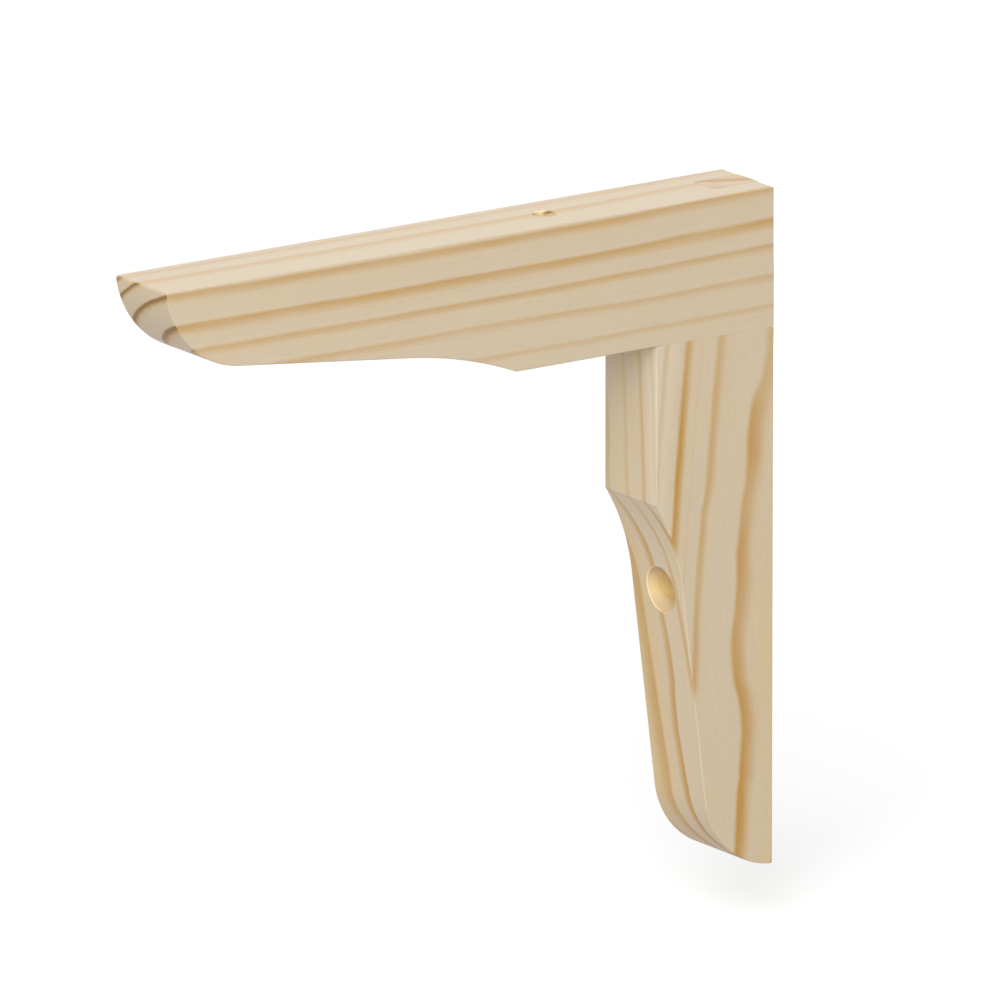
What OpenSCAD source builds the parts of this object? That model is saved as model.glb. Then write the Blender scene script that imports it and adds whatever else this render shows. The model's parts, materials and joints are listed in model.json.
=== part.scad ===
// Wooden corbel bracket: two pine members and a bridle joint.
//
// The wall is the plane y = 0, on the +Y side, and the arm points to -Y.
// The shelf rests on the plane z = 0, and the leg hangs below it.
// The origin is at the mid-thickness of the bracket, where those planes meet.

/* [Overall] */
// Reach of the arm from the wall to its tip
arm_length = 230; // [200:5:300]
// Height from the toe of the leg to the shelf
bracket_height = 220; // [195:5:300]
// Thickness of both members, side to side
thickness = 28; // [22:1:40]

/* [Arm] */
// Height of the arm at the wall
arm_depth = 45; // [36:1:56]
// Straight underside of the arm, in front of the leg
arm_flat = 53; // [30:1:60]
// Radius of the cove under the arm
arm_cove_r = 150; // [100:5:160]
// Slope at which the cove starts, at the shoulder
arm_cove_angle = 22.5; // [20:0.5:26]
// Slope of the taper that the cove runs into
arm_taper_angle = 6.5; // [4:0.5:8]
// Radius of the rounded nose
arm_nose_r = 31; // [24:1:34]

/* [Leg] */
// Depth of the leg at the top, wall to front
leg_depth = 45; // [38:1:56]
// Straight front of the leg, below the arm
leg_flat = 51.5; // [40:0.5:60]
// Radius of the cove in the front of the leg
leg_cove_r = 70; // [55:1:75]
// Slope at which the cove starts, at the shoulder
leg_cove_angle = 32; // [26:1:34]
// Slope of the taper that the cove runs into
leg_taper_angle = 7.2; // [4:0.1:8]
// Radius of the rounded toe
leg_nose_r = 28; // [22:1:32]

/* [Bridle joint] */
// Thickness of the tenon on top of the leg
tenon_thickness = 11; // [8:0.5:14]
// Depth of the tenon, out from the wall
tenon_depth = 17; // [12:0.5:30]
// Glue line around the tenon
glue_gap = 0.1; // [0.05:0.05:0.3]

/* [Screw holes] */
// Diameter of the through holes
screw_d = 7.5; // [5:0.5:8]
// Diameter of the counterbores for the screw heads
head_d = 15; // [12:0.5:16]
// Wood left between each screw head and the face it pulls against
seat_wood = 20; // [14:1:25]
// Shelf screw, out from the wall
arm_screw_out = 78; // [60:1:90]
// Wall screw, down from the shelf
leg_screw_down = 128; // [110:1:140]
// Wall screw, off the middle of the thickness
leg_screw_side = 1.8; // [-3:0.1:3]

/* [Hidden] */
$fn = 96;
over = 1;  // how far a cutting tool runs past the wood
blend = 0.01;  // how far a round crosses the taper that it runs into
leg_length = bracket_height - arm_depth;
arm_shoulder = leg_depth + arm_flat;
slot_width = tenon_thickness + 2 * glue_gap;
slot_depth = tenon_depth + glue_gap;

// A member is drawn in its own plane. It runs along +X from the corner of the
// bracket, its straight face is on y = 0, and its shaped face is at +Y.

// Unit vectors of a taper: outward, and along it towards the tip.
function outward(angle) = [sin(angle), cos(angle)];
function along(angle) = [cos(angle), -sin(angle)];

// The cove starts at the shoulder with the steeper slope and ends on the taper.
function cove_centre(shoulder, depth, r, angle) =
    [shoulder, depth] + r * outward(angle);

// The nose runs out of the taper and passes through the tip. Where its centre
// would then lie in the wood, it is a full round that just reaches the tip.
function nose_centre(tip, on_taper, r, taper) =
    let (
        rise = (on_taper - tip) * outward(taper) - r + blend,
        through_tip = sqrt(max(0, r * r - rise * rise)),
        full_round = (r + rise * sin(taper)) / cos(taper),
        in_wood = rise * cos(taper) + through_tip * sin(taper) > 0
    )
    tip + rise * outward(taper) - (in_wood ? full_round : through_tip) * along(taper);

// Straight board, shoulder, cove, taper and rounded nose
module member_outline(length, depth, shoulder, cove_r, cove_angle, taper, nose_r) {
    cove = cove_centre(shoulder, depth, cove_r, cove_angle);
    taper_start = cove - (cove_r - blend) * outward(taper);
    nose = nose_centre([length, 0], taper_start, nose_r, taper);
    difference() {
        intersection() {
            square([length + nose_r, depth]);
            union() {
                translate(nose) circle(r = nose_r);
                // everything behind the nose, up to the square line through its centre
                translate(nose) rotate(-taper) translate([-2 * length, -length]) square(2 * length);
            }
        }
        translate(cove) circle(r = cove_r);
        translate(taper_start) rotate(-taper) square([length, depth]);
    }
}

// Through hole with a counterbore. It starts at the face that the screw pulls
// against and runs along +Z, out of the shaped face.
module screw_hole(depth) {
    translate([0, 0, -over]) cylinder(d = screw_d, h = depth + 2 * over);
    translate([0, 0, seat_wood]) cylinder(d = head_d, h = depth - seat_wood + over);
}

// Horizontal member that carries the shelf, slotted at the wall for the tenon
module arm() {
    color("burlywood") difference() {
        rotate([-90, 0, -90]) linear_extrude(thickness, center = true)
            member_outline(
                arm_length, arm_depth, arm_shoulder,
                arm_cove_r, arm_cove_angle, arm_taper_angle, arm_nose_r
            );
        translate([-slot_width / 2, -slot_depth, -arm_depth - over])
            cube([slot_width, slot_depth + over, arm_depth + 2 * over]);
        translate([0, -arm_screw_out, 0]) rotate([180, 0, 0]) screw_hole(arm_depth);
    }
}

// Tenon that stands on the leg and shows its end grain on the shelf face
module tenon() {
    translate([-tenon_thickness / 2, -tenon_depth, -arm_depth - over])
        cube([tenon_thickness, tenon_depth, arm_depth + over]);
}

// Vertical member that lies against the wall, with its tenon
module leg() {
    color("wheat") difference() {
        union() {
            translate([0, 0, -arm_depth])
                rotate([0, 90, 180]) linear_extrude(thickness, center = true)
                    member_outline(
                        leg_length, leg_depth, leg_flat,
                        leg_cove_r, leg_cove_angle, leg_taper_angle, leg_nose_r
                    );
            tenon();
        }
        translate([leg_screw_side, 0, -leg_screw_down])
            rotate([90, 0, 0]) screw_hole(leg_depth);
    }
}

arm();
leg();
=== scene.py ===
"""Looks of a pine corbel bracket: an arm and a leg, each cut from its own board.

Lengths are in metres in the part's own frame, where the wall is the plane y = 0 and the shelf rests on
z = 0. Sizes given in millimetres carry the factor MM. The growth of a board is worked out in millimetres.
"""

import json
import math

import bmesh
import bpy
from mathutils import Matrix, Vector


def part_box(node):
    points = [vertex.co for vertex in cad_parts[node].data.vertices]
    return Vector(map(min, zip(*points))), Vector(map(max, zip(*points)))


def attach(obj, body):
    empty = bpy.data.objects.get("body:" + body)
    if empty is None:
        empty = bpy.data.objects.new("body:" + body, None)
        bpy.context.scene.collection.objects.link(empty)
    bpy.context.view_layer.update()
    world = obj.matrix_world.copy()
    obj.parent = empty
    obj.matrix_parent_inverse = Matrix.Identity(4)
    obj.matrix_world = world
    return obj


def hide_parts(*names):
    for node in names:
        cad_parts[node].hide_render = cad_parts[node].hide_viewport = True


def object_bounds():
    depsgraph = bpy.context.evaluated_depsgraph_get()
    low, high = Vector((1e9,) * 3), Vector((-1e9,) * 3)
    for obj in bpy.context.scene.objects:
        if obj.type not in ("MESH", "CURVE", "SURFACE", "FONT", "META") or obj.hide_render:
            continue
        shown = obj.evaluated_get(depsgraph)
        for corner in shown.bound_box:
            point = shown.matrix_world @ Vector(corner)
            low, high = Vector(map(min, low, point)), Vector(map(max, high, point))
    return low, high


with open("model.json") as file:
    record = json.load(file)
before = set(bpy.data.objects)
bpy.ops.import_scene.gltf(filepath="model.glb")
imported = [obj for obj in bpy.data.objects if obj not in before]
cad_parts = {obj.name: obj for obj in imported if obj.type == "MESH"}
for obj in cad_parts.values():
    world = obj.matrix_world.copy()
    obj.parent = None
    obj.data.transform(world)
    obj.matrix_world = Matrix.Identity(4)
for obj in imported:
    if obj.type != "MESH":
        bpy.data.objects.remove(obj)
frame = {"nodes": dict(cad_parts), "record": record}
CAD_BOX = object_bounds()

MM = 0.001

# ---------------------------------------------------------------- sizes from the frame

ARM_LOW, ARM_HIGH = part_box("arm")
LEG_LOW, LEG_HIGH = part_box("leg")
THICKNESS = ARM_HIGH.x - ARM_LOW.x
MOUNTS = {mount["name"]: mount for mount in frame["record"]["mounts"]}

ARM_DEPTH = ARM_HIGH.z - ARM_LOW.z
ARM_LENGTH = ARM_HIGH.y - ARM_LOW.y
LEG_DEPTH = LEG_HIGH.y - LEG_LOW.y
LEG_LENGTH = ARM_LOW.z - LEG_LOW.z

# The tenon is the part of the leg that reaches the shelf face.
SAME_LEVEL = 0.01 * MM
TENON_TOP = [v.co for v in frame["nodes"]["leg"].data.vertices if v.co.z > LEG_HIGH.z - SAME_LEVEL]
TENON_THICKNESS = 2 * max(co.x for co in TENON_TOP)
TENON_DEPTH = -min(co.y for co in TENON_TOP)
GLUE_GAP = 0.1 * MM

# ---------------------------------------------------------------- shape of the two members

# The shoulder is where the straight stretch beside the joint ends and the cove begins. Slopes are in
# degrees: the cove starts at its own slope and runs into that of the taper.
ARM_SHAPE = dict(
    length=ARM_LENGTH, depth=ARM_DEPTH, shoulder=LEG_DEPTH + 53 * MM,
    cove_r=150 * MM, cove_slope=22.5, taper=6.5, nose_r=31 * MM,
)
LEG_SHAPE = dict(
    length=LEG_LENGTH, depth=LEG_DEPTH, shoulder=51.5 * MM,
    cove_r=70 * MM, cove_slope=32, taper=7.2, nose_r=28 * MM,
)

PLANED_ARRIS = 0.45 * MM  # edge of a planed face, eased by hand
SANDED_ARRIS = 0.5 * MM  # edge of the leg's shaped front, sanded after sawing
FLUSH_ARRIS = 0.08 * MM  # edge planed flush with the other member
HEAD_REACH = 2 * MM  # the leg's edges are flush over this length from the joint
BACK_REACH = LEG_DEPTH / 5  # and planed, not sanded, over this depth from the wall
ARRIS_STEPS = 5
ARRIS_FADE = 5 * MM  # length over which one arris runs into the next
CORNER_R = 0.6 * MM  # small round at the square ends of the outline
CORNER_STEPS = 6
OUTLINE_STEP = 3 * MM
ARC_STEP = math.radians(1.6)
RIM_CHAMFER = 0.2 * MM  # broken edge of a drilled hole
DRILL_SIDES = 96
PAST = 1 * MM  # how far a cutter runs past the wood
TENON_ROOT = 4 * MM  # how far the tenon's block reaches into the leg that it becomes one with
SAME_POINT = 0.001 * MM
SMOOTH_BELOW = math.radians(20)


def outward(slope):
    """Unit vector (along, deep) square to a face that slopes down towards the tip."""
    return Vector((math.sin(math.radians(slope)), math.cos(math.radians(slope))))


def downhill(slope):
    """Unit vector (along, deep) down that face, towards the tip."""
    return Vector((math.cos(math.radians(slope)), -math.sin(math.radians(slope))))


def arc(centre, radius, start, end):
    """Points from angle start to end, in degrees from the deep axis, both ends included."""
    steps = max(2, math.ceil(abs(math.radians(end - start)) / ARC_STEP))
    return [centre + radius * outward(start + (end - start) * i / steps) for i in range(steps + 1)]


def fillet(before, corner, after, radius):
    """A corner between two straight stretches, as a small arc."""
    back = (before - corner).normalized()
    on = (after - corner).normalized()
    half = back.angle(on) / 2
    centre = corner + (back + on).normalized() * radius / math.sin(half)
    first = corner + back * radius / math.tan(half) - centre
    last = corner + on * radius / math.tan(half) - centre
    turn = first.angle(last)
    points = []
    for i in range(CORNER_STEPS + 1):
        share = i / CORNER_STEPS
        blend = first * math.sin((1 - share) * turn) + last * math.sin(share * turn)
        points.append(centre + blend / math.sin(turn))
    return points


def cove_centre(member):
    shoulder = Vector((member["shoulder"], member["depth"]))
    return shoulder + member["cove_r"] * outward(member["cove_slope"])


def taper_start(member):
    """Where the cove runs into the taper."""
    return cove_centre(member) - member["cove_r"] * outward(member["taper"])


def taper_depth(member, along):
    """Depth of the member at a place on its taper."""
    start = taper_start(member)
    return start.y - (along - start.x) * math.tan(math.radians(member["taper"]))


def member_outline(member):
    """Closed outline: straight face, nose, taper, cove, front and head."""
    taper, cove_r, nose_r = member["taper"], member["cove_r"], member["nose_r"]
    tip = Vector((member["length"], 0))
    rise = (taper_start(member) - tip).dot(outward(taper)) - nose_r
    nose = tip + rise * outward(taper) - math.sqrt(nose_r**2 - rise**2) * downhill(taper)
    tip_angle = math.degrees(math.atan2(tip.x - nose.x, tip.y - nose.y))
    nose_arc = arc(nose, nose_r, tip_angle, taper)
    head_back = Vector((0, 0))
    head_front = Vector((0, member["depth"]))
    shoulder = Vector((member["shoulder"], member["depth"]))

    # The small round at the tip takes the place of the nose's first two points.
    points = fillet(head_front, head_back, tip, CORNER_R)
    points += fillet(head_back, tip, nose_arc[1], CORNER_R)
    points += nose_arc[2:]
    points += arc(cove_centre(member), -cove_r, taper, member["cove_slope"])
    points += fillet(shoulder, head_front, head_back, CORNER_R)
    closed = []
    for here, there in zip(points, points[1:] + points[:1]):
        steps = max(1, round((there - here).length / OUTLINE_STEP))
        closed += [here.lerp(there, i / steps) for i in range(steps)]
    return closed


def smoothed(values, gaps, reach):
    """Weighted mean of the values round a closed outline, over a length of reach each way."""
    result = []
    for i in range(len(values)):
        total, weight = values[i], 1.0
        for step in (-1, 1):
            j, distance = i, 0.0
            while True:
                distance += gaps[j if step > 0 else j - 1]
                j = (j + step) % len(values)
                if distance > reach:
                    break
                share = 1 - distance / reach
                total += values[j] * share
                weight += share
        result.append(total / weight)
    return result


def inward_pushes(points):
    """For each point of a closed outline, the vector that moves both its sides inward by one unit."""
    area = sum(p.x * q.y - q.x * p.y for p, q in zip(points, points[1:] + points[:1])) / 2
    facing = 1 if area > 0 else -1
    pushes = []
    for i, point in enumerate(points):
        before = (point - points[i - 1]).normalized()
        after = (points[(i + 1) % len(points)] - point).normalized()
        normals = [Vector((d.y, -d.x)) for d in (before, after)]
        mean = (normals[0] + normals[1]).normalized()
        pushes.append(-mean / mean.dot(normals[0]) * facing)
    return pushes


def eased_solid(name, points, arris_at, place):
    """A solid with that outline and eased arrises.

    arris_at gives the radius of the arris at a point, and place maps (across, along, deep) to the frame.
    """
    gaps = [(q - p).length for p, q in zip(points, points[1:] + points[:1])]
    arris = smoothed([arris_at(point) for point in points], gaps, ARRIS_FADE)
    pushes = inward_pushes(points)
    turns = [math.radians(90) * (step / ARRIS_STEPS) for step in range(ARRIS_STEPS + 1)]
    bm = bmesh.new()
    rings = []
    for side, side_turns in ((-1, turns[::-1]), (1, turns)):
        for turn in side_turns:
            ring = []
            for point, push, r in zip(points, pushes, arris):
                across = side * (THICKNESS / 2 - r * (1 - math.sin(turn)))
                flat = point + push * r * (1 - math.cos(turn))
                ring.append(bm.verts.new(place(across, flat.x, flat.y)))
            rings.append(ring)
    for low, high in zip(rings, rings[1:]):
        for i in range(len(points)):
            j = (i + 1) % len(points)
            bm.faces.new((low[i], low[j], high[j], high[i]))
    bm.faces.new(rings[0])
    bm.faces.new(rings[-1])
    bmesh.ops.recalc_face_normals(bm, faces=bm.faces)
    return new_object(name, bm)


def new_object(name, bm):
    mesh = bpy.data.meshes.new(name)
    bm.to_mesh(mesh)
    bm.free()
    made = bpy.data.objects.new(name, mesh)
    bpy.context.scene.collection.objects.link(made)
    return made


def block(name, low, high):
    """A box between two corners."""
    low, high = Vector(low), Vector(high)
    placed = Matrix.Translation((low + high) / 2) @ Matrix.Diagonal(high - low).to_4x4()
    bm = bmesh.new()
    bmesh.ops.create_cube(bm, size=1)
    bmesh.ops.transform(bm, matrix=placed, verts=bm.verts)
    return new_object(name, bm)


def drill_ring(bm, radius, height, slope):
    """One ring of a cutter, or a single point where the radius is 0."""
    if radius == 0:
        return [bm.verts.new((0, 0, height))]
    ring = []
    for i in range(DRILL_SIDES):
        turn = 2 * math.pi * i / DRILL_SIDES
        x, y = radius * math.cos(turn), radius * math.sin(turn)
        ring.append(bm.verts.new((x, y, height + slope * y)))
    return ring


def drill(name, narrow, wide, mouth, lean=0.0):
    """Cutter for a through hole and its counterbore, from the record's two mounts on one axis.

    It starts at the face that the screw pulls against. The counterbore opens in a face at the height
    mouth, which rises by lean times the distance along the cutter's own y. Both mouths have a broken edge.
    """
    axis = Vector(narrow["axis"])
    r, seat = narrow["dims"]["r_mm"] * MM, narrow["dims"]["length_mm"] * MM
    wide_r = wide["dims"]["r_mm"] * MM
    start = Vector(narrow["pos_m"]) - axis * seat / 2
    flare = RIM_CHAMFER + PAST
    # Radius, height and lean of each ring
    profile = [
        (0, -PAST, 0),
        (r + flare, -PAST, 0),
        (r, RIM_CHAMFER, 0),
        (r, seat, 0),
        (wide_r, seat, 0),
        (wide_r, mouth - RIM_CHAMFER, lean),
        (wide_r + flare, mouth + PAST, lean),
        (0, mouth + PAST, lean),
    ]
    bm = bmesh.new()
    rings = [drill_ring(bm, *level) for level in profile]
    for low, high in zip(rings, rings[1:]):
        for i in range(DRILL_SIDES):
            j = (i + 1) % DRILL_SIDES
            corners = [low[0]] if len(low) == 1 else [low[i], low[j]]
            corners += [high[0]] if len(high) == 1 else [high[j], high[i]]
            bm.faces.new(corners)
    turned = Vector((0, 0, 1)).rotation_difference(axis).to_matrix().to_4x4()
    bmesh.ops.transform(bm, matrix=Matrix.Translation(start) @ turned, verts=bm.verts)
    bmesh.ops.recalc_face_normals(bm, faces=bm.faces)
    return new_object(name, bm)


def carve(wood, operation, tool, material):
    """Applies one boolean to the wood, gives the new faces the material and deletes the tool."""
    tool.data.materials.append(material)
    modifier = wood.modifiers.new(operation, "BOOLEAN")
    modifier.operation = operation
    modifier.solver = "EXACT"
    modifier.object = tool
    modifier.material_mode = "TRANSFER"
    evaluated = wood.evaluated_get(bpy.context.evaluated_depsgraph_get())
    mesh = bpy.data.meshes.new_from_object(evaluated)
    wood.modifiers.clear()
    old = wood.data
    wood.data = mesh
    bpy.data.meshes.remove(old)
    bpy.data.objects.remove(tool)


def finish_surface(wood):
    """Crisp edges stay crisp, and the rounds are shaded smooth against the flats."""
    bm = bmesh.new()
    bm.from_mesh(wood.data)
    bmesh.ops.remove_doubles(bm, verts=bm.verts, dist=SAME_POINT)
    for face in bm.faces:
        face.smooth = True
    for edge in bm.edges:
        edge.smooth = len(edge.link_faces) == 2 and edge.calc_face_angle() < SMOOTH_BELOW
    bm.to_mesh(wood.data)
    bm.free()
    modifier = wood.modifiers.new("shading", "WEIGHTED_NORMAL")
    modifier.keep_sharp = True


# ---------------------------------------------------------------- the two pieces


def make_arm(planed, drilled_fresh_and_painted_light):
    def arris_at(point):
        joint = point.x < LEG_DEPTH and point.y > ARM_DEPTH / 2
        return FLUSH_ARRIS if joint else PLANED_ARRIS

    def place(across, along, deep):
        return Vector((across, -along, -deep))

    wood = eased_solid("arm_wood", member_outline(ARM_SHAPE), arris_at, place)
    wood.data.materials.append(planed)
    half_slot = TENON_THICKNESS / 2 + GLUE_GAP
    slot_low = (-half_slot, -TENON_DEPTH - GLUE_GAP, -ARM_DEPTH - PAST)
    slot = block("slot", slot_low, (half_slot, PAST, PAST))
    carve(wood, "DIFFERENCE", slot, planed)
    bit = drill("shelf_drill", MOUNTS["shelf_screw"], MOUNTS["shelf_screw_head"], ARM_DEPTH)
    # The hole walls take the lighter pine: fresh-cut tone plus painted light.
    carve(wood, "DIFFERENCE", bit, drilled_fresh_and_painted_light)
    finish_surface(wood)
    return wood


def make_leg(planed, drilled_fresh_and_painted_light):
    def arris_at(point):
        if point.x < HEAD_REACH:
            return FLUSH_ARRIS
        shaped = point.x > LEG_SHAPE["shoulder"] and point.y >= BACK_REACH
        return SANDED_ARRIS if shaped else PLANED_ARRIS

    def place(across, along, deep):
        return Vector((across, -deep, -ARM_DEPTH - along))

    wood = eased_solid("leg_wood", member_outline(LEG_SHAPE), arris_at, place)
    wood.data.materials.append(planed)
    half_tenon = TENON_THICKNESS / 2
    tenon_low = (-half_tenon, -TENON_DEPTH, -ARM_DEPTH - TENON_ROOT)
    tenon = block("tenon", tenon_low, (half_tenon, 0, 0))
    carve(wood, "UNION", tenon, planed)
    mouth = taper_depth(LEG_SHAPE, -ARM_DEPTH - MOUNTS["wall_screw"]["pos_m"][2])
    lean = math.tan(math.radians(LEG_SHAPE["taper"]))
    bit = drill("wall_drill", MOUNTS["wall_screw"], MOUNTS["wall_screw_head"], mouth, lean)
    # The hole walls take the lighter pine: fresh-cut tone plus painted light.
    carve(wood, "DIFFERENCE", bit, drilled_fresh_and_painted_light)
    finish_surface(wood)
    return wood


# ---------------------------------------------------------------- shader graphs


def linear(red, green, blue):
    """sRGB levels, 0 to 255, as a scene-linear colour."""

    def channel(level):
        c = level / 255
        return c / 12.92 if c <= 0.04045 else ((c + 0.055) / 1.055) ** 2.4

    return (channel(red), channel(green), channel(blue), 1.0)


class Graph:
    """Short calls that add shader nodes and return their output sockets."""

    def __init__(self, owner):
        owner.use_nodes = True
        self.tree = owner.node_tree
        self.tree.nodes.clear()

    def node(self, kind, **settings):
        made = self.tree.nodes.new(kind)
        for name, value in settings.items():
            setattr(made, name, value)
        return made

    def put(self, value, socket):
        """Links an output to the socket, or sets the socket to a plain value."""
        if isinstance(value, bpy.types.NodeSocket):
            self.tree.links.new(value, socket)
        else:
            socket.default_value = value

    def math(self, operation, *values, clamp=False):
        made = self.node("ShaderNodeMath", operation=operation, use_clamp=clamp)
        for value, socket in zip(values, made.inputs):
            self.put(value, socket)
        return made.outputs[0]

    def total(self, base, *terms, clamp=False):
        """The base plus each (value, weight) of the terms."""
        for value, weight in terms[:-1]:
            base = self.math("MULTIPLY_ADD", value, weight, base)
        value, weight = terms[-1]
        return self.math("MULTIPLY_ADD", value, weight, base, clamp=clamp)

    def ramp(self, value, low, high):
        """A smooth step: 0 below low and 1 above high."""
        made = self.node("ShaderNodeMapRange", interpolation_type="SMOOTHSTEP")
        self.put(value, made.inputs["Value"])
        made.inputs["From Min"].default_value = low
        made.inputs["From Max"].default_value = high
        return made.outputs["Result"]

    def fall(self, value, low, high):
        """A smooth step: 1 below low and 0 above high."""
        return self.math("SUBTRACT", 1.0, self.ramp(value, low, high))

    def curve(self, value, points, low, high):
        """A smooth curve through a few (position, value) points, for a position from low to high."""
        bottom = min(v for _, v in points)
        span = max(v for _, v in points) - bottom or 1.0
        made = self.node("ShaderNodeFloatCurve")
        line = made.mapping.curves[0]
        places = [((p - low) / (high - low), (v - bottom) / span) for p, v in points]
        line.points[0].location = places[0]
        line.points[1].location = places[-1]
        for place in places[1:-1]:
            line.points.new(*place)
        made.mapping.update()
        position = self.total(-low / (high - low), (value, 1 / (high - low)), clamp=True)
        self.put(position, made.inputs["Value"])
        return self.total(bottom, (made.outputs["Value"], span))

    def vector(self, x, y, z):
        made = self.node("ShaderNodeCombineXYZ")
        for value, socket in zip((x, y, z), made.inputs):
            self.put(value, socket)
        return made.outputs[0]

    def split(self, vector):
        made = self.node("ShaderNodeSeparateXYZ")
        self.put(vector, made.inputs[0])
        return [made.outputs[i] for i in range(3)]

    def noise(self, vector, detail=2.0, roughness=0.5):
        """Smooth noise, centred on 0, from about -0.5 to 0.5."""
        made = self.node("ShaderNodeTexNoise")
        self.put(vector, made.inputs["Vector"])
        made.inputs["Scale"].default_value = 1.0
        made.inputs["Detail"].default_value = detail
        made.inputs["Roughness"].default_value = roughness
        return self.math("SUBTRACT", made.outputs["Fac"], 0.5)

    def mix(self, factor, a, b):
        """Colour a where the factor is 0, and b where it is 1."""
        made = self.node("ShaderNodeMix", data_type="RGBA", blend_type="MIX")
        self.put(factor, made.inputs[0])
        self.put(a, made.inputs[6])
        self.put(b, made.inputs[7])
        return made.outputs[2]


# ---------------------------------------------------------------- pine

PLANED = dict(
    early=linear(208, 190, 162),
    pale=linear(213, 198, 173),
    yellow=linear(212, 185, 138),
    late=linear(188, 143, 71),
)
# Wood in the holes: the paler tone of fresh-cut wood, lightened further as painted light against the shade
# inside the holes
DRILLED_FRESH_AND_PAINTED_LIGHT = dict(
    early=linear(250, 232, 190),
    pale=linear(250, 233, 192),
    yellow=linear(249, 226, 168),
    late=linear(241, 212, 146),
)
RESIN = linear(150, 104, 58)

# Lengths from here to the studio are in millimetres.
# How long and how wide each kind of variation in the wood is, along and across the grain
RING_WAVE = (70, 16)
RING_RIPPLE = (20, 3)
CLOUD = (30, 9)
STREAK = (45, 1.3)
FIBRE = (22, 0.32)
CELLS = (5, 0.13)
CANAL = (4, 0.28)  # resin canals
PATCH_LENGTH, PATCH_WIDTH = 34, 5  # stretches of a ring that are lighter or darker
PATCH_SLICE = 3.7  # any value: it picks one slice of the noise

WAVE_HEIGHT = 0.8  # how far the waves and ripples bend a ring
RIPPLE_HEIGHT = 0.5
PATCH_STRENGTH = 0.8
CANAL_LEVELS = (0.24, 0.34)  # noise above these levels is a canal, so there are few
END_FACING = (0.25, 0.85)  # how squarely a surface has to cut the grain to show end grain

RING_EDGE = 1.1  # how softly the late wood of a ring ends
GLOW_REACH = 3.0  # how far a yellow tint reaches past a ring's late wood
DENSE_SHARE = 0.6  # share of a late wood's width over which it grows dense, up to its end
FULL_SHARE = 0.35  # share of the width, up to its end, that lies past the soft start of the late wood
PALE_FADE = 3
YELLOW_FADE = 6

# How much of a colour is mixed in
YELLOW_MIX = 0.75
END_MIX = 0.7
RESIN_MIX = 0.1
WEAK_LOSS = 0.5  # share of the late wood's strength that is lost where it is weak

ROUGHNESS = 0.56
BUMP_STRENGTH = 0.5
BUMP_HEIGHT = 0.05


class Grain:
    """Where a point of the surface lies in its board, in millimetres, as sockets of a shader graph."""

    def __init__(self, g, board):
        coords = g.node("ShaderNodeTexCoord")
        place = g.split(coords.outputs["Object"])
        normal = g.split(coords.outputs["Normal"])
        along, across, deep = [g.math("MULTIPLY", place[i], sign / MM) for i, sign in board["axes"]]
        pith = board["pith"]
        self.g = g
        self.along = along
        self.deep = deep
        self.start, self.end = pith[0][0], pith[-1][0]
        squareness = g.math("ABSOLUTE", normal[board["axes"][0][0]])
        self.end_grain = g.ramp(squareness, *END_FACING)
        self.from_pith = (
            g.math("SUBTRACT", across, self.varying([(p[0], p[1]) for p in pith])),
            g.math("SUBTRACT", deep, self.varying([(p[0], p[2]) for p in pith])),
        )
        squares = [g.math("MULTIPLY", d, d) for d in self.from_pith]
        radius = g.math("SQRT", g.math("ADD", *squares))
        wave, ripple = self.noise(RING_WAVE), self.noise(RING_RIPPLE)
        self.radius = g.total(radius, (wave, WAVE_HEIGHT), (ripple, RIPPLE_HEIGHT))

    def varying(self, value):
        """A plain value, or a curve along the board through a list of (along, value) points."""
        if isinstance(value, list):
            return self.g.curve(self.along, value, self.start, self.end)
        return value

    def noise(self, size, **settings):
        """Noise that is stretched along the grain, of a size (length, width)."""
        length, width = size
        along = self.g.math("DIVIDE", self.along, length)
        across, deep = [self.g.math("DIVIDE", d, width) for d in self.from_pith]
        return self.g.noise(self.g.vector(along, across, deep), **settings)


def growth(g, grain, rings):
    """The rings' late wood, the dense wood at their ends, and a glow around them, from 0 to about 1."""
    late, core, glow = 0.0, 0.0, 0.0
    for ring_radius, width, strength, wander in rings:
        offset = g.math("SUBTRACT", g.math("SUBTRACT", grain.radius, ring_radius), grain.varying(wander))
        outer = g.fall(offset, -RING_EDGE / 2, RING_EDGE / 2)
        outer = g.math("MULTIPLY", outer, grain.varying(strength))
        dense = g.ramp(offset, -DENSE_SHARE * width, 0)
        start = g.ramp(offset, -width, -FULL_SHARE * width)
        around = g.ramp(offset, -width - GLOW_REACH, 0)
        body = g.total(0.0, (start, 0.75), (dense, 0.4))
        late = g.math("MAXIMUM", late, g.math("MULTIPLY", body, outer))
        core = g.math("MAXIMUM", core, g.math("MULTIPLY", dense, outer))
        glow = g.math("MAXIMUM", glow, g.math("MULTIPLY", around, outer))
    return late, core, glow


def patches(g, grain):
    """A factor around 1 that makes late wood stronger and weaker from place to place."""
    along = g.math("DIVIDE", grain.along, PATCH_LENGTH)
    outwards = g.math("DIVIDE", grain.radius, PATCH_WIDTH)
    patch = g.noise(g.vector(along, outwards, PATCH_SLICE), detail=1.0)
    return g.total(1.0, (patch, PATCH_STRENGTH))


def ground_colour(g, grain, board, tones, tint):
    """Early wood: paler far from the pith, yellower near it and under the tint."""
    pale = g.ramp(grain.radius, board["pale_from"], board["pale_from"] + PALE_FADE)
    yellow = g.fall(grain.radius, board["yellow_to"] - YELLOW_FADE, board["yellow_to"])
    ground = g.mix(pale, tones["early"], tones["pale"])
    ground = g.mix(g.math("MULTIPLY", yellow, YELLOW_MIX), ground, tones["yellow"])
    ground = g.mix(tint, ground, tones["yellow"])
    return g.mix(g.math("MULTIPLY", grain.end_grain, END_MIX), ground, board["end"])


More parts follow.
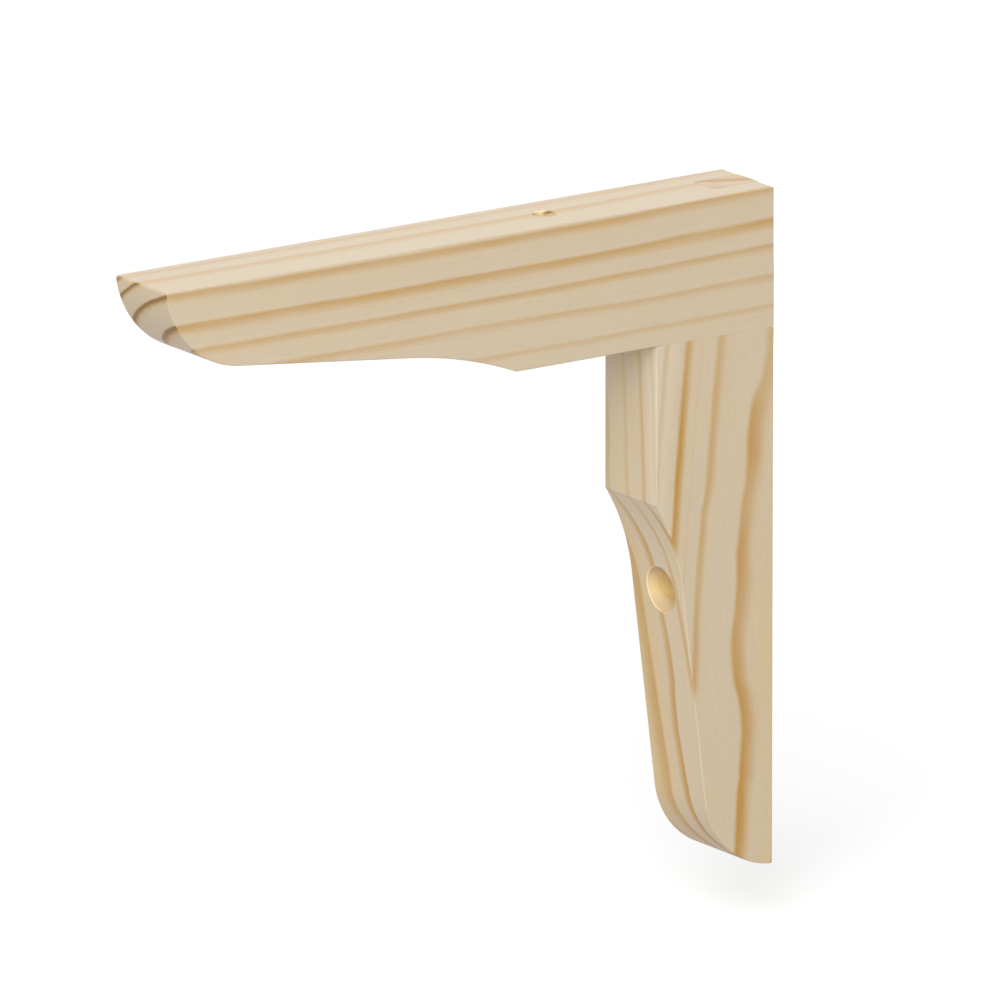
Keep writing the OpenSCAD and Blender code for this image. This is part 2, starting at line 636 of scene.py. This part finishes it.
def bare_wood(g, colour, shade, roughness, relief):
    """A dull shader with a fine relief, its colour scaled by the shade."""
    shaded = g.node("ShaderNodeVectorMath", operation="SCALE")
    g.put(colour, shaded.inputs[0])
    g.put(shade, shaded.inputs["Scale"])
    bump = g.node("ShaderNodeBump")
    bump.inputs["Strength"].default_value = BUMP_STRENGTH
    bump.inputs["Distance"].default_value = BUMP_HEIGHT * MM
    g.put(relief, bump.inputs["Height"])
    shader = g.node("ShaderNodeBsdfPrincipled")
    shader.inputs["Specular IOR Level"].default_value = 0.3
    shader.inputs["Sheen Weight"].default_value = 0.18
    shader.inputs["Sheen Roughness"].default_value = 0.4
    g.put(shaded.outputs[0], shader.inputs["Base Color"])
    g.put(roughness, shader.inputs["Roughness"])
    g.put(bump.outputs[0], shader.inputs["Normal"])
    g.put(shader.outputs[0], g.node("ShaderNodeOutputMaterial").inputs["Surface"])


def pine(name, board, tones):
    """Material of one board, worked out in millimetres from the wood's growth.

    board["axes"] gives, from the object's coordinates, the directions along, across and deep as
    (index, sign).
    board["pith"] is the path of the tree's centre, as (along, across, deep) points outside the board.
    board["rings"] holds one (radius, width, strength, wander) for each ring. Its dark late wood ends at
    the radius and fades over the width towards the pith, and wander shifts the radius along the board.
    A list of (along, value) points can stand for a strength or a wander.
    Outside the radius board["pale_from"] the wood is paler, and inside board["yellow_to"] it is yellower.
    board["weak_from"], if it is given, holds the depths between which late wood loses part of its strength.
    board["end"] and board["end_late"] are the colours of early and late wood where the grain meets the
    surface, and board["end_contrast"] is how strongly the late wood shows there.
    """
    material = bpy.data.materials.new(name)
    g = Graph(material)
    grain = Grain(g, board)
    end_grain = grain.end_grain
    late, core, glow = growth(g, grain, board["rings"])
    if "weak_from" in board:
        weak = g.ramp(grain.deep, *board["weak_from"])
        late = g.math("MULTIPLY", late, g.total(1.0, (weak, -WEAK_LOSS)))
    late = g.math("MULTIPLY", late, patches(g, grain), clamp=True)
    core = g.math("MULTIPLY", g.math("MULTIPLY", core, end_grain), board["end_contrast"], clamp=True)

    fibre = grain.noise(FIBRE, detail=3.0, roughness=0.6)
    streak = grain.noise(STREAK)
    cells = grain.noise(CELLS)
    cloud = grain.noise(CLOUD)
    resin = g.ramp(grain.noise(CANAL, detail=0.0), *CANAL_LEVELS)

    tint = g.total(0.0, (glow, 0.4), (streak, 0.6), (cloud, 0.5), clamp=True)
    colour = ground_colour(g, grain, board, tones, tint)
    colour = g.mix(late, colour, tones["late"])
    colour = g.mix(core, colour, board["end_late"])
    colour = g.mix(g.math("MULTIPLY", resin, RESIN_MIX), colour, RESIN)

    # Open cells show much more on end grain than along the board.
    cell_shade = g.total(0.05, (end_grain, 0.35))
    cell_relief = g.total(0.2, (end_grain, 0.8))
    shade = g.total(1.0, (streak, 0.05), (fibre, 0.16), (cells, cell_shade))
    roughness = g.total(ROUGHNESS, (late, -0.1), (fibre, 0.12), (end_grain, 0.2), clamp=True)
    relief = g.total(0.0, (fibre, 0.8), (late, 0.5), (cells, cell_relief), (resin, -0.3))
    bare_wood(g, colour, shade, roughness, relief)
    return material


# Along is the distance from the wall on the arm, and from the shelf on the leg.
ARM_BOARD = dict(
    axes=((1, -1), (0, 1), (2, 1)),
    pith=[
        (0, 42.6, -87.8), (30, 42.6, -88.4), (70, 42.6, -89.2), (110, 42.6, -89.3),
        (145, 42.6, -89.5), (175, 42.6, -89.4), (230, 42.6, -89.0),
    ],
    rings=[
        (104.3, 2.2, 0.42, 0),
        (99.9, 2.8, 0.50, 0),
        (92.9, 3.6, 0.54, 0),
        (83.2, 4.2, 0.62, 0),
        (75.5, 3.0, 0.50, 0),
        (67.5, 2.8, 0.38, [(0, -1.0), (45, -0.9), (80, -0.2), (110, 0), (230, 0)]),
        (58.4, 2.3, 0.32, [(0, -0.6), (30, -0.5), (65, 0), (230, 0)]),
    ],
    pale_from=120, yellow_to=40,
    end=linear(205, 187, 158), end_late=linear(140, 103, 44), end_contrast=2.5,
)
LEG_BOARD = dict(
    axes=((2, -1), (0, 1), (1, -1)),
    pith=[
        (0, -86.0, -31.0), (60, -81.0, -31.3), (100, -78.5, -31.4), (140, -76.4, -31.5),
        (180, -75.6, -36.0), (220, -70.6, -43.0),
    ],
    rings=[
        (120.6, 1.5, 0.42, 0),
        (115.9, 2.3, [(0, 0.7), (58, 0.76), (80, 0.98), (110, 0.9), (220, 0.9)], 0),
        (112.6, 1.0, 0.10, 0),
        (
            109.4, 2.1, 0.60,
            [
                (0, 0), (80, -0.2), (92, -0.3), (102, 0.2), (130, 0.3),
                (148, 0.5), (166, 2.2), (185, 3.0), (220, 3.0),
            ],
        ),
        (
            102.1, 3.4,
            [
                (0, 0.3), (62, 0.5), (80, 0.95), (97, 0.65),
                (120, 0.7), (135, 0.7), (158, 0.88), (220, 0.82),
            ],
            [
                (0, 0), (45, -0.3), (57, -0.6), (66, 0.1), (76, 0.4), (90, -0.1), (102, 0.2), (114, 0.2),
                (130, -0.5), (148, 0), (158, -0.1), (168, -0.8), (178, -0.4), (190, 0.1), (205, 0.8),
                (220, 0.7),
            ],
        ),
        (94.2, 5.4, 0.62, [(0, 0), (120, 0), (150, -0.75), (175, 0.4), (195, 1.0), (220, 1.1)]),
        (86.0, 2.6, 0.30, 0),
    ],
    pale_from=116.2, yellow_to=100, weak_from=(39, 45),
    end=linear(216, 194, 166), end_late=linear(176, 136, 96), end_contrast=0.5,
)


# ---------------------------------------------------------------- studio

CENTRE = (CAD_BOX[0] + CAD_BOX[1]) / 2

CAMERA_AZIMUTH = 55.13
CAMERA_ELEVATION = 15.15
CAMERA_DISTANCE = 8.673
CAMERA_AIM = Vector((0, 20.2, 20.1)) * MM  # from the bracket's centre to the middle of the picture
CAMERA_LENS = 1000  # in millimetres, like the sensor
CAMERA_SENSOR = 36
CAMERA_REACH = 50

AMBIENT = 0.49
FLOOR_REACH = 8.0
FLOOR_SIDES = 96
FLOOR_DROP = 20 * MM  # room below the toe of a bracket that hangs on its wall
FLOOR_WHITE = linear(200, 200, 200)
FLOOR_GLOW = 0.49
FLOOR_FADE = (1.0, 4.0)  # distances over which the floor fades into the white background


def seen_directly(g):
    """1 for camera, glossy and transmission rays, and 0 for the rays that light the object."""
    path = g.node("ShaderNodeLightPath")
    seen = g.math("MAXIMUM", path.outputs["Is Camera Ray"], path.outputs["Is Glossy Ray"])
    return g.math("MAXIMUM", seen, path.outputs["Is Transmission Ray"])


def make_world():
    """An even light from all round, which is plain white where it is seen directly."""
    world = bpy.data.worlds.new("studio")
    bpy.context.scene.world = world
    g = Graph(world)
    sky = g.node("ShaderNodeBackground")
    sky.inputs["Color"].default_value = (1, 1, 1, 1)
    g.put(g.total(AMBIENT, (seen_directly(g), 1 - AMBIENT)), sky.inputs["Strength"])
    g.put(sky.outputs[0], g.node("ShaderNodeOutputWorld").inputs["Surface"])


def floor_paint():
    """Pale paint with a glow where it is seen directly. From below it is clear."""
    material = bpy.data.materials.new("floor_paint")
    g = Graph(material)
    paint = g.node("ShaderNodeBsdfDiffuse")
    paint.inputs["Color"].default_value = FLOOR_WHITE
    place = g.node("ShaderNodeNewGeometry")
    distance = g.node("ShaderNodeVectorMath", operation="LENGTH")
    g.put(place.outputs["Position"], distance.inputs[0])
    far = g.ramp(distance.outputs["Value"], *FLOOR_FADE)
    glow = g.node("ShaderNodeEmission")
    strength = g.total(FLOOR_GLOW, (far, 1 - FLOOR_GLOW))
    g.put(g.math("MULTIPLY", seen_directly(g), strength), glow.inputs["Strength"])
    both = g.node("ShaderNodeAddShader")
    g.put(paint.outputs[0], both.inputs[0])
    g.put(glow.outputs[0], both.inputs[1])
    clear = g.node("ShaderNodeBsdfTransparent")
    side = g.node("ShaderNodeMixShader")
    g.put(place.outputs["Backfacing"], side.inputs[0])
    g.put(both.outputs[0], side.inputs[1])
    g.put(clear.outputs[0], side.inputs[2])
    g.put(side.outputs[0], g.node("ShaderNodeOutputMaterial").inputs["Surface"])
    return material


def make_floor(height):
    """A disc that keeps the object's shadow and doesn't hide its underside."""
    bm = bmesh.new()
    bmesh.ops.create_circle(bm, cap_ends=True, segments=FLOOR_SIDES, radius=FLOOR_REACH)
    bmesh.ops.translate(bm, verts=bm.verts, vec=(0, 0, height))
    floor = new_object("floor", bm)
    floor.data.materials.append(floor_paint())


def towards(azimuth, elevation):
    """Unit vector from the object. Azimuth 0 is in front of the arm's tip and 90 is on the +X side."""
    a, e = math.radians(azimuth), math.radians(elevation)
    return Vector((math.sin(a) * math.cos(e), -math.cos(a) * math.cos(e), math.sin(e)))


def link_facing(made, forward):
    """Adds a lamp or a camera to the scene, turned to look forward with its top up."""
    made.rotation_mode = "QUATERNION"
    made.rotation_quaternion = forward.to_track_quat("-Z", "Y")
    bpy.context.scene.collection.objects.link(made)


def make_softbox(name, azimuth, elevation, distance, size, level):
    """A square lamp that adds level to a white surface facing it."""
    lamp = bpy.data.lights.new(name, "AREA")
    lamp.size = size
    lamp.energy = level * math.pi**2 * distance**2
    made = bpy.data.objects.new(name, lamp)
    made.location = CENTRE + towards(azimuth, elevation) * distance
    link_facing(made, CENTRE - made.location)


def make_camera():
    camera = bpy.data.objects.new("camera", bpy.data.cameras.new("camera"))
    camera.data.lens = CAMERA_LENS
    camera.data.sensor_width = CAMERA_SENSOR
    camera.data.clip_end = CAMERA_REACH
    back = towards(CAMERA_AZIMUTH, CAMERA_ELEVATION)
    camera.location = CENTRE + CAMERA_AIM + back * CAMERA_DISTANCE
    link_facing(camera, -back)
    bpy.context.scene.camera = camera


make_camera()
make_world()
make_floor(CAD_BOX[0].z - FLOOR_DROP)
make_softbox("key", azimuth=46, elevation=27, distance=3.2, size=2.0, level=0.64)
make_softbox("high", azimuth=36, elevation=55, distance=2.8, size=1.4, level=0.25)
make_softbox("back", azimuth=228, elevation=34, distance=2.4, size=1.3, level=0.20)

arm_planed = pine("arm_pine", ARM_BOARD, PLANED)
# Lighter copies of the pine for the holes' walls: fresh-cut tone plus painted light against their shade.
arm_drilled_fresh_and_painted_light = pine("arm_pine_drilled_fresh_and_painted_light", ARM_BOARD, DRILLED_FRESH_AND_PAINTED_LIGHT)
leg_planed = pine("leg_pine", LEG_BOARD, PLANED)
leg_drilled_fresh_and_painted_light = pine("leg_pine_drilled_fresh_and_painted_light", LEG_BOARD, DRILLED_FRESH_AND_PAINTED_LIGHT)

for piece, node, slot in (
    (make_arm(arm_planed, arm_drilled_fresh_and_painted_light), "arm", "arm_pine"),
    (make_leg(leg_planed, leg_drilled_fresh_and_painted_light), "leg", "leg_pine"),
):
    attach(piece, "root")
    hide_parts(node)

bpy.context.scene.view_settings.view_transform = "Standard"
